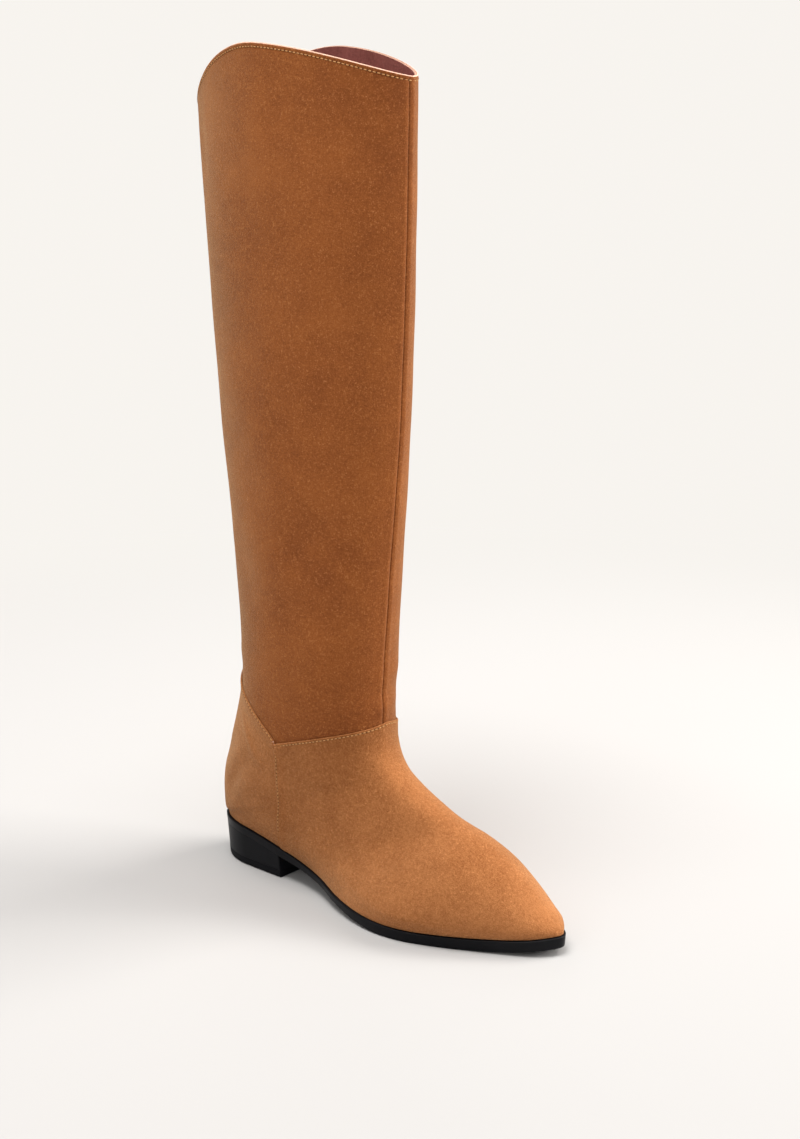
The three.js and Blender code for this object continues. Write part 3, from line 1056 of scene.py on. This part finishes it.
@dataclass
class Foot:
    """The foot: a vamp that laps over the counter at both sides and over the shaft."""

    last: Last
    bench: Bench
    materials: list[Material]
    thickness: float = 1.0
    lap: float = 5.0
    proud: float = 1.0
    ankle_reach: float = 11.0
    counter_reach: float = 10.0
    seam_inset: float = 1.6
    seam_depth: float = 0.2
    toe_thinning: float = 16.0
    toe_least: float = 0.08
    lap_fade: float = 4.0
    lap_least: float = 0.25
    heel_fade: float = 3.0

    def ankle_border(self) -> Border:
        """How the foot's pieces end along the ankle seam."""
        return Border(0.6, self.proud, self.ankle_reach, groove=self.seam_depth)

    def edge(self, side: int, shift: float, bottom: float) -> Callable[[float], float]:
        """The turn at which each row of a panel meets a line beside the counter's seam.

        Args:
            side: -1 for the outer side, +1 for the inner.
            shift: How far the line lies in front of the seam.
            bottom: The station of the panel's last row.

        Returns:
            The turn by the row's share of the panel's height.
        """
        last = self.last
        return lambda row: last.turn_at(lambda at: lerp(last.ankle(at), bottom, row), shift, side)

    def vamp(self) -> Object:
        """The front of the foot, from the counter seams to the toe.

        Returns:
            The piece.
        """
        seam = Border(lift=self.proud, reach=self.counter_reach, groove=self.seam_depth)

        def weight(side: str, stations: Array) -> Array:
            """Only the ankle and the counter seam lap; the feather edge just turns under.

            Args:
                side: The side's name.
                stations: The grid's stations.

            Returns:
                The share of the border's shape at each place.
            """
            if side in ("first", "last"):
                above = stations - COUNTER_END + self.lap_fade / 2
                return np.clip(above / self.lap_fade, self.lap_least, 1)
            return np.ones_like(stations)

        panel = Panel(
            top=self.last.ankle,
            bottom=lambda turn: np.zeros_like(turn),
            first=self.edge(-1, 0.0, 0),
            last=self.edge(1, 0.0, 0),
            width=190,
            height=250,
            step=1.9,
            borders={"top": self.ankle_border(), "first": seam, "last": seam},
            end_weight=weight,
        )
        mesh = panel.sheet(self.last)
        bmesh.ops.remove_doubles(mesh, verts=mesh.verts, dist=FINE_WELD)
        piece = self.bench.piece("vamp", mesh, self.materials, Slot.SUEDE, "upper")
        tip = (FOOT_LENGTH + self.last.origin[0]) * MM
        thinning, least = self.toe_thinning * MM, self.toe_least
        return shell(piece, self.thickness, lambda x: np.clip((tip - x) / thinning, least, 1))

    def counter(self) -> Object:
        """The back of the foot, in one piece round the heel.

        Returns:
            The piece.
        """

        def weight(side: str, stations: Array) -> Array:
            """The heel's middle has no edge above the feather line.

            Args:
                side: The side's name.
                stations: The grid's stations.

            Returns:
                The share of the border's shape at each place.
            """
            if side == "last":
                return np.clip((SEAT_STATION - stations) / self.heel_fade, 0, 1)
            return np.ones_like(stations)

        whole = bmesh.new()
        for side in (-1, 1):
            panel = Panel(
                top=self.last.ankle,
                bottom=lambda turn: np.full_like(turn, COUNTER_END),
                first=self.edge(side, self.lap, COUNTER_END),
                last=lambda row, side=side: float(side),
                width=80,
                height=130,
                step=1.7,
                borders={
                    "top": self.ankle_border(),
                    "first": Border(roll=0.2, lift=-0.35),
                    "last": Border(roll=0.5),
                },
                end_weight=weight,
            )
            half = panel.sheet(self.last)
            if side < 0:
                bmesh.ops.reverse_faces(half, faces=half.faces)
            data = bpy.data.meshes.new("half")
            half.to_mesh(data)
            half.free()
            whole.from_mesh(data)
            bpy.data.meshes.remove(data)
        bmesh.ops.remove_doubles(whole, verts=whole.verts, dist=WELD)
        piece = self.bench.piece("counter", whole, self.materials, Slot.SUEDE)
        return shell(piece, self.thickness)


# ---- Lining and insole ----


@dataclass
class Inside:
    """The lining, in one piece from the collar to the toe."""

    last: Last
    bench: Bench
    materials: list[Material]
    depth: float = 1.45
    thickness: float = 0.75
    toe_station: float = 13.0

    def lining(self) -> Object:
        """Makes the lining.

        Returns:
            The piece.
        """
        panel = Panel(
            top=lambda turn: self.last.collar(turn) - 0.1,
            bottom=lambda turn: np.full_like(turn, self.toe_station),
            first=lambda row: -1.0,
            last=lambda row: 1.0,
            width=370,
            height=640,
            step=4.0,
            depth=self.depth,
            edge_rows=1,
            borders={"top": Border(roll=0.3)},
        )
        mesh = panel.sheet(self.last)
        bmesh.ops.remove_doubles(mesh, verts=mesh.verts, dist=WELD)
        piece = self.bench.piece("lining", mesh, self.materials, Slot.LINING)
        return shell(piece, self.thickness)


# ---- Stitching ----


@dataclass
class Stitching:
    """Rows of even stitches, each with a dark bead of painted shade for the hole that its thread
    goes into.
    """

    last: Last
    bench: Bench
    thread: Material
    # The needle holes' material: painted shade, dark for the shade inside each hole.
    hole: Material
    pitch: float = 2.6
    length: float = 1.9
    breadth: float = 0.66
    hole_length: float = 0.75
    flatness: float = 0.8
    reach: float = 0.8
    collar_inset: float = 2.7
    sink: float = 0.05
    collar_ends: tuple[float, float] = (0.012, 0.988)
    seam_rows: tuple[float, float] = (0.012, 0.45)
    seam_end: float = 0.992
    samples: int = 400
    seam_samples: int = 180

    def row(self, name: str, stations: Array, turns: Array, lift: float) -> list[Object]:
        """Sews a row along a line on the upper.

        Args:
            name: The row's name.
            stations: The line's stations.
            turns: The line's turns.
            lift: How far the sewn face stands out there.

        Returns:
            The stitches, and the beads of painted shade in their holes.
        """
        line = self.last.surface(stations, turns, lift)
        run = np.concatenate(([0], np.cumsum(np.linalg.norm(np.diff(line, axis=0), axis=1))))

        def bead(mesh: BMesh, at: float, length: float, detail: int) -> None:
            """Adds one rounded bead, lying in the line's direction on the upper's face.

            Args:
                mesh: Where it is added.
                at: Its distance along the line.
                length: Its length.
                detail: How finely it is divided.
            """
            at = min(at, run[-1])
            nearby = [at - self.reach, at, at + self.reach]
            before, place, after = np.stack([np.interp(nearby, run, axis) for axis in line.T], 1)
            ahead = Vector(after - before).normalized()
            station, turn = (np.array(np.interp(at, run, side)) for side in (stations, turns))
            out = Vector(self.last.normal(station, turn)).normalized()
            across = out.cross(ahead).normalized()
            axes = Matrix((ahead, across, ahead.cross(across))).transposed().to_4x4()
            size = Matrix.Diagonal((length, self.breadth, self.breadth * self.flatness, 1.0))
            spot = Matrix.Translation(Vector(self.last.placed(place)))
            matrix = spot @ axes @ Matrix.Scale(MM, 4) @ size
            bmesh.ops.create_icosphere(mesh, subdivisions=detail, radius=0.5, matrix=matrix)

        count = int(run[-1] / self.pitch)
        threads, holes = bmesh.new(), bmesh.new()
        for middle in (np.arange(count) + 0.5) * run[-1] / count:
            bead(threads, middle, self.length, 2)
            # A dark bead of painted shade marks the hole between two stitches.
            bead(holes, middle + self.pitch / 2, self.hole_length, 1)
        stitches = self.bench.piece(name, threads, [self.thread], Slot.SUEDE)
        return [stitches, self.bench.piece(name + "_holes", holes, [self.hole], Slot.SUEDE)]

    def build(self, foot: Foot) -> list[Object]:
        """Sews the collar, the ankle seam and both counter seams.

        Args:
            foot: The foot, whose laps the rows follow.

        Returns:
            The rows, and the beads of painted shade in their holes.
        """
        last = self.last
        inset = np.array(foot.seam_inset)
        made = []
        for side, word in ((-1, "lateral"), (1, "medial")):
            turns = side * np.linspace(*self.collar_ends, self.samples)
            collar = last.below(last.collar(turns), turns, self.collar_inset)
            made += self.row(f"collar_stitches_{word}", collar, turns, 0.02)
            turns = side * np.linspace(0.0, 1.0, self.samples)
            ankle = last.below(last.ankle(turns), turns, foot.seam_inset)
            lift = foot.proud * float(fade(inset, foot.ankle_reach)) - self.sink
            made += self.row(f"ankle_stitches_{word}", ankle, turns, lift)
            edge = foot.edge(side, foot.seam_inset, 0)
            rows = np.linspace(*self.seam_rows, self.seam_samples)
            seam = np.array([edge(row) for row in rows])
            stations = last.ankle(seam) * (1 - rows)
            keep = np.abs(seam) < self.seam_end
            lift = foot.proud * float(fade(inset, foot.counter_reach)) - self.sink
            made += self.row(f"counter_stitches_{word}", stations[keep], seam[keep], lift)
        return made


# ---- Sole ----


@dataclass(frozen=True)
class Rim:
    """A corner of a layer's side: its reach past the feather line, and its height.

    The height is measured down from the top where it is negative, and up from the bottom where not.
    """

    margin: float
    height: float


@dataclass
class Layer:
    """A layer under the foot, lofted along it from a closed profile."""

    length: float
    rims: tuple[Rim, ...]
    top: Line
    bottom: Line
    rows: int = 160
    across: int = 12
    crowding: float = 0.85
    tread_share: float = 0.84
    breast: float = 0.0
    tread: Line = lambda along: np.zeros_like(along)

    def edge(self, last: Last, along: Array, side: int, margin: Array) -> Array:
        """Points beside the feather line, in boot millimetres and without their height.

        Args:
            last: The last it is made on.
            along: Distances from the back of the heel.
            side: -1 for the outer side, +1 for the inner.
            margin: How far outside the feather line.

        Returns:
            The x and y of each.
        """
        step = 0.01
        rise = last.feather_side(along + step, side) - last.feather_side(along - step, side)
        out = np.stack([-rise, np.full_like(rise, 2 * step)], axis=-1) * side
        out = out / np.linalg.norm(out, axis=-1, keepdims=True)
        out = np.where((along < HAIR)[:, None], np.array([-1.0, 0.0]), out)
        out = np.where((along > FOOT_LENGTH - HAIR)[:, None], np.array([1.0, 0.0]), out)
        flat = np.stack([along, last.feather_side(along, side)], axis=-1)
        return flat + out * margin[:, None]

    def build(self, last: Last) -> BMesh:
        """Lofts the layer and closes its ends.

        Args:
            last: The last it is made on.

        Returns:
            The closed mesh.
        """
        share = np.linspace(0, 1, self.rows + 1)
        eased = (1 - np.cos(share * math.pi)) / 2
        along = self.length * lerp(share, eased, self.crowding)
        short = np.clip(self.breast - (self.length - along), 0, None)
        inset = self.breast - np.sqrt(np.maximum(self.breast**2 - short**2, 0))
        top, bottom = self.top(along), self.bottom(along)

        def corner(rim: Rim, side: int) -> Array:
            """A corner's points, on one side."""
            flat = self.edge(last, along, side, rim.margin - inset)
            return np.column_stack([flat, (top if rim.height < 0 else bottom) + rim.height])

        def crossing(rim: Rim, level: Array, start: int) -> list[Array]:
            """The points across a face, from one side to the other.

            Args:
                rim: The corner it starts from.
                level: The face's height.
                start: The side it starts on.

            Returns:
                The points, a line for each step.
            """
            near, far = (
                self.edge(last, along, side, rim.margin - inset) for side in (start, -start)
            )
            lines = []
            for share in np.linspace(0, 1, self.across + 1):
                inner = abs(2 * share - 1) < self.tread_share and start < 0
                height = level + (self.tread(along) if inner else 0)
                lines.append(np.column_stack([lerp(near, far, share), height]))
            return lines

        first, final = self.rims[0], self.rims[-1]
        loop = crossing(first, top, 1)
        loop += [corner(rim, -1) for rim in self.rims[1:-1]]
        loop += crossing(final, bottom, -1)
        loop += [corner(rim, 1) for rim in reversed(self.rims[1:-1])]
        points = last.placed(np.stack(loop + loop[:1]))
        mesh = bmesh.new()
        sides = len(loop)
        bmesh.ops.create_grid(mesh, x_segments=self.rows, y_segments=sides, size=0.5)
        for vertex in mesh.verts:
            row = round((vertex.co.x + 0.5) * self.rows)
            vertex.co = points[round((vertex.co.y + 0.5) * sides), row]
        bmesh.ops.remove_doubles(mesh, verts=mesh.verts, dist=LOFT_WELD)
        bmesh.ops.dissolve_degenerate(mesh, edges=mesh.edges, dist=SLIVER)
        bmesh.ops.holes_fill(mesh, edges=[e for e in mesh.edges if e.is_boundary], sides=0)
        bmesh.ops.recalc_face_normals(mesh, faces=mesh.faces)
        return mesh


SOLE_ALONG = (0, 30, 62, 95, 125, 150, FLAT_START, FLAT_END, 230, 248, FOOT_LENGTH)
SOLE_HEIGHTS = (23, 21.8, 16, 9.7, 5, 1.7, 0, 0, 0.7, 2.2, 4.8)


@dataclass
class Sole:
    """The sole, its heel and top piece, and the sock inside."""

    last: Last
    bench: Bench
    edge_finish: Material
    rubber: Material
    sock: Material
    gap: float = 0.3
    heel_length: float = 65.0
    top_piece: float = 5.0
    tread_pitch: float = 5.2
    tread_depth: float = 0.7
    tread_start: float = 128.0
    tread_end: float = 248.0
    tread_fade: float = 2.0
    groove_from: float = 0.72
    groove_slope: float = 0.12
    heel_corner: float = 0.8
    sock_length: float = 240.0
    sock_top: float = 2.5
    sock_foot: float = 0.02

    def __post_init__(self) -> None:
        """Draws the underside's curve."""
        self.underside = Curve(list(SOLE_ALONG), list(SOLE_HEIGHTS))

    def bottom(self, along: Array) -> Array:
        """The height of the sole's underside, flat under the forefoot."""
        flat = (along > FLAT_START) & (along < FLAT_END)
        return np.where(flat, 0, np.maximum(self.underside(along), 0))

    def grooves(self, along: Array) -> Array:
        """Fine grooves across the underside of the forefoot.

        Args:
            along: Distances from the back of the heel.

        Returns:
            The depth at each, in millimetres.
        """
        phase = np.abs((along / self.tread_pitch) % 1 - 0.5) * 2
        notch = np.clip((phase - self.groove_from) / self.groove_slope, 0, 1)
        starts = np.clip((along - self.tread_start) / self.tread_fade, 0, 1)
        ends = np.clip((self.tread_end - along) / self.tread_fade, 0, 1)
        return self.tread_depth * notch * starts * ends

    def build(self) -> list[Object]:
        """Makes the four layers.

        Returns:
            The four pieces.
        """
        bench, last = self.bench, self.last
        feather = last.feather_height
        outsole = Layer(
            length=FOOT_LENGTH,
            rims=(
                Rim(0.9, 0), Rim(1.35, -0.08), Rim(1.6, -0.4), Rim(1.5, -1.1),
                Rim(1.5, -1.7), Rim(1.15, 0.3), Rim(1.1, 0.1), Rim(0.95, 0),
            ),
            top=lambda along: feather(along) - self.gap,
            bottom=self.bottom,
            rows=430,
            across=16,
            tread=self.grooves,
        )
        heel = Layer(
            length=self.heel_length,
            rims=(
                Rim(1.0, 0), Rim(1.09, -0.06), Rim(1.12, -0.2),
                Rim(-0.02, 0.25), Rim(-0.04, 0.1), Rim(-0.15, 0),
            ),
            top=lambda along: self.bottom(along) - self.gap * 0.15,
            bottom=lambda along: np.full_like(along, self.top_piece + self.gap * 0.25),
            breast=self.heel_corner,
        )
        lift = Layer(
            length=self.heel_length,
            rims=(
                Rim(-0.15, 0), Rim(-0.02, -0.08), Rim(0.0, -0.25),
                Rim(-0.3, 0.8), Rim(-0.55, 0.25), Rim(-1.1, 0),
            ),
            top=lambda along: np.full_like(along, self.top_piece),
            bottom=np.zeros_like,
            breast=self.heel_corner,
        )
        sock = Layer(
            length=self.sock_length,
            rims=(Rim(-4.4, 0), Rim(-3.9, -0.3), Rim(-3.7, -1.0), Rim(-3.7, 0.3), Rim(-3.9, 0)),
            top=lambda along: feather(along) + self.sock_top,
            bottom=lambda along: feather(along) + self.sock_foot,
            breast=1.0,
        )
        parts = (
            ("outsole_unit", outsole, self.edge_finish, Slot.SOLE, "outsole"),
            ("heel_block", heel, self.edge_finish, Slot.SOLE, "heel"),
            ("heel_lift", lift, self.rubber, Slot.SOLE, "top_piece"),
            ("insole_sock", sock, self.sock, Slot.LINING, "insole"),
        )
        return [
            bench.piece(name, layer.build(last), [finish], slot, node)
            for name, layer, finish, slot, node in parts
        ]


# ---- Studio ----


@dataclass(frozen=True)
class Lamp:
    """A square soft light: its place in the frame and its side in metres, and its watts."""

    name: str
    at: tuple[float, float, float]
    size: float
    power: float
    tint: Colour


LAMPS = tuple(Lamp(*row) for row in (
    ("key", (0.9, 1.6, 1.9), 1.1, 47, (1.0, 0.975, 0.94)),
    ("top", (0.0, -0.45, 2.35), 1.2, 52, (1.0, 0.985, 0.965)),
    ("fill", (0.1, -2.2, 1.5), 1.4, 6, (1.0, 0.985, 0.97)),
    ("strip", (1.5, 1.15, 0.8), 0.7, 25, (1.0, 0.97, 0.92)),
    ("rim", (-1.5, 1.2, 1.3), 0.9, 6, (1.0, 0.98, 0.95)),
))


@dataclass
class Studio:
    """The pale floor, the soft light and the camera, placed from the boot's own sizes."""

    last: Last
    eye: tuple[float, float, float] = (777.1, -707.1, 436.0)
    aim: tuple[float, float, float] = (111.4, 41.4, 202.0)
    lens: float = 51.3
    sensor: float = 36.0
    far_clip: float = 50.0
    paper: Colour = (0.935, 0.905, 0.862)
    lit_spot: tuple[float, float, float] = (0.0, 0.0, 0.2)
    surround: Colour = (1.0, 0.985, 0.97)
    surround_strength: float = 0.4
    floor_tone: Colour = (0.527, 0.519, 0.514)
    floor_roughness: float = 0.5
    floor_radius: float = 7.0
    floor_sides: int = 96
    floor_gap: float = 0.25
    fade_start: float = 0.35
    fade_end: float = 1.15

    def spot(self, place: tuple[float, float, float]) -> Vector:
        """A place on the boot as a point of the frame."""
        return Vector(self.last.placed(np.array(place)))

    def facing(self, thing: Object, at: Vector, towards: Vector) -> None:
        """Puts a camera or light in place and turns it.

        Args:
            thing: The camera's or lamp's object.
            at: Its place.
            towards: The point it looks at.
        """
        thing.location = at
        thing.rotation_euler = (towards - at).to_track_quat("-Z", "Y").to_euler()
        bpy.context.scene.collection.objects.link(thing)

    def camera(self) -> None:
        """The camera."""
        data = bpy.data.cameras.new("camera")
        data.sensor_fit = "VERTICAL"
        data.sensor_height = self.sensor
        data.lens = self.lens
        data.clip_end = self.far_clip
        camera = bpy.data.objects.new("camera", data)
        self.facing(camera, self.spot(self.eye), self.spot(self.aim))
        bpy.context.scene.camera = camera

    def light(self, lamp: Lamp) -> None:
        """Sets up a lamp that looks at the boot's foot.

        Args:
            lamp: The lamp.
        """
        data = bpy.data.lights.new(lamp.name, "AREA")
        data.size = lamp.size
        data.energy = lamp.power
        data.color = lamp.tint
        self.facing(bpy.data.objects.new(lamp.name, data), Vector(lamp.at), Vector(self.lit_spot))

    def world(self) -> None:
        """An even pale surround that lights the boot less than it shows."""
        world = bpy.data.worlds.new("surround")
        bpy.context.scene.world = world
        world.use_nodes = True
        nodes, links = world.node_tree.nodes, world.node_tree.links
        nodes.clear()
        seen, lit = nodes.new("ShaderNodeBackground"), nodes.new("ShaderNodeBackground")
        seen.inputs[0].default_value = (*self.paper, 1)
        lit.inputs[0].default_value = (*self.surround, 1)
        lit.inputs[1].default_value = self.surround_strength
        rays, mix = nodes.new("ShaderNodeLightPath"), nodes.new("ShaderNodeMixShader")
        links.new(rays.outputs["Is Camera Ray"], mix.inputs[0])
        links.new(lit.outputs[0], mix.inputs[1])
        links.new(seen.outputs[0], mix.inputs[2])
        links.new(mix.outputs[0], nodes.new("ShaderNodeOutputWorld").inputs[0])

    def floor(self) -> None:
        """A round floor that fades into the surround."""
        mesh = bmesh.new()
        sides, radius = self.floor_sides, self.floor_radius
        bmesh.ops.create_circle(mesh, cap_ends=True, segments=sides, radius=radius)
        bmesh.ops.translate(mesh, verts=mesh.verts, vec=(0, 0, -self.floor_gap * MM))
        data = bpy.data.meshes.new("floor")
        mesh.to_mesh(data)
        mesh.free()
        floor = bpy.data.objects.new("floor", data)
        bpy.context.scene.collection.objects.link(floor)
        tree = NodeTree("studio_floor")
        length = tree.add("ShaderNodeVectorMath", {"operation": "LENGTH"}, {0: tree.place})
        far = Signal(tree, length.outputs["Value"]).above(self.fade_start, self.fade_end)
        inputs = {0: colour(self.floor_tone), 1: self.floor_roughness}
        near = tree.add("ShaderNodeBsdfDiffuse", {}, inputs)
        away = tree.add("ShaderNodeEmission", {}, {0: colour(self.paper), 1: 1.0})
        ends = {0: far, 1: near.outputs[0], 2: away.outputs[0]}
        mix = tree.add("ShaderNodeMixShader", {}, ends)
        tree.add("ShaderNodeOutputMaterial", {}, {"Surface": mix.outputs[0]})
        data.materials.append(tree.material)

    def build(self) -> None:
        """Sets up the whole studio."""
        bpy.context.scene.view_settings.view_transform = "Standard"
        self.camera()
        self.world()
        self.floor()
        for lamp in LAMPS:
            self.light(lamp)


def main() -> None:
    """Builds the boot's sub-assemblies in order and reports each piece."""
    logging.basicConfig(level=logging.INFO, format="%(message)s")
    bench = Bench()
    last = Last()
    cut = CutEdge().make()
    shaft_suede = Suede("shaft_suede").make()
    # The foot's suede is the shaft's suede in lighter tones: painted light, for the light that
    # falls from above on the foot.
    foot_suede_painted_light = Suede("foot_suede_painted_light", (0.245, 0.077, 0.0175), (0.48, 0.188, 0.064), grain=1.3).make()
    lining = Lining().make()
    thread = Thread("thread", (0.5, 0.245, 0.085), (0.65, 0.345, 0.13)).make()
    # The needle holes' colour is painted shade: the dark inside each hole.
    hole = Thread("needle_hole_painted_shade", (0.05, 0.018, 0.007), (0.09, 0.032, 0.012)).make()
    shaft = Shaft(last, bench, [shaft_suede, cut])
    foot = Foot(last, bench, [foot_suede_painted_light, cut])
    pieces = shaft.build()
    pieces += [foot.vamp(), foot.counter()]
    pieces.append(Inside(last, bench, [lining, cut]).lining())
    pieces += Stitching(last, bench, thread, hole).build(foot)
    edge = SoleBlack("sole_edge_black").make()
    rubber = SoleBlack("heel_rubber", gloss=0.5, grain=0.25).make()
    pieces += Sole(last, bench, edge, rubber, lining).build()
    for piece in pieces:
        bench.report(piece)
    Studio(last).build()


if __name__ == "__main__":
    main()
